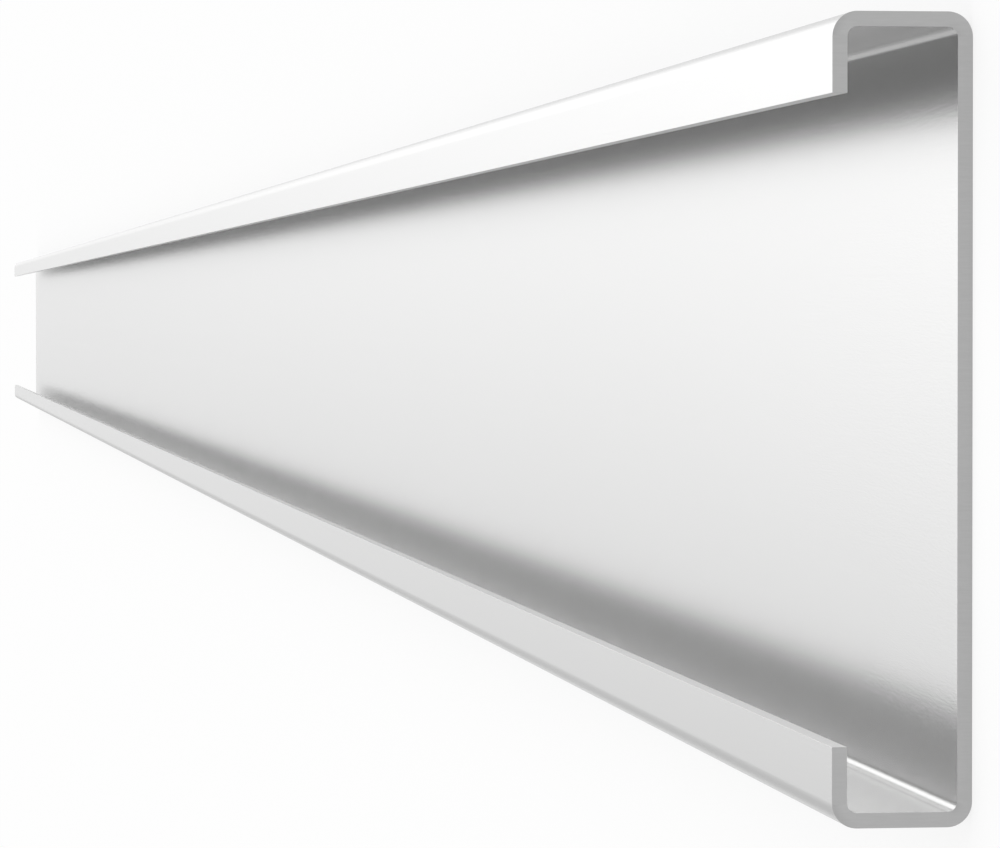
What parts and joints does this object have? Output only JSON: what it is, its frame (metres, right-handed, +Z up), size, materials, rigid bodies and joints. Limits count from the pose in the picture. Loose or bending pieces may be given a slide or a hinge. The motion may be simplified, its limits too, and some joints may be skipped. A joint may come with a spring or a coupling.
{
  "type": "stainless steel skirting board",
  "caption": "Long stainless steel skirting board: sheet folded to a shallow channel, with a flat face, a narrow flange along each edge and lips that turn in against the wall.",
  "frame": {"origin": "middle of the web's outer face, which is the face the board lies on", "axes": "+X along the board, +Y across it towards the edge that is the top one on a wall, +Z up from the web to the lips, which is towards the wall when it is fitted"},
  "size_m": [2.5, 0.08, 0.014],
  "materials": {
    "stainless_steel": "satin stainless steel with a fine, even, dull grain, bare metal at the sawn ends and the sheared lip edges"
  },
  "bodies": {
    "root": {"skirting_board": "stainless_steel"}
  },
  "joints": []
}
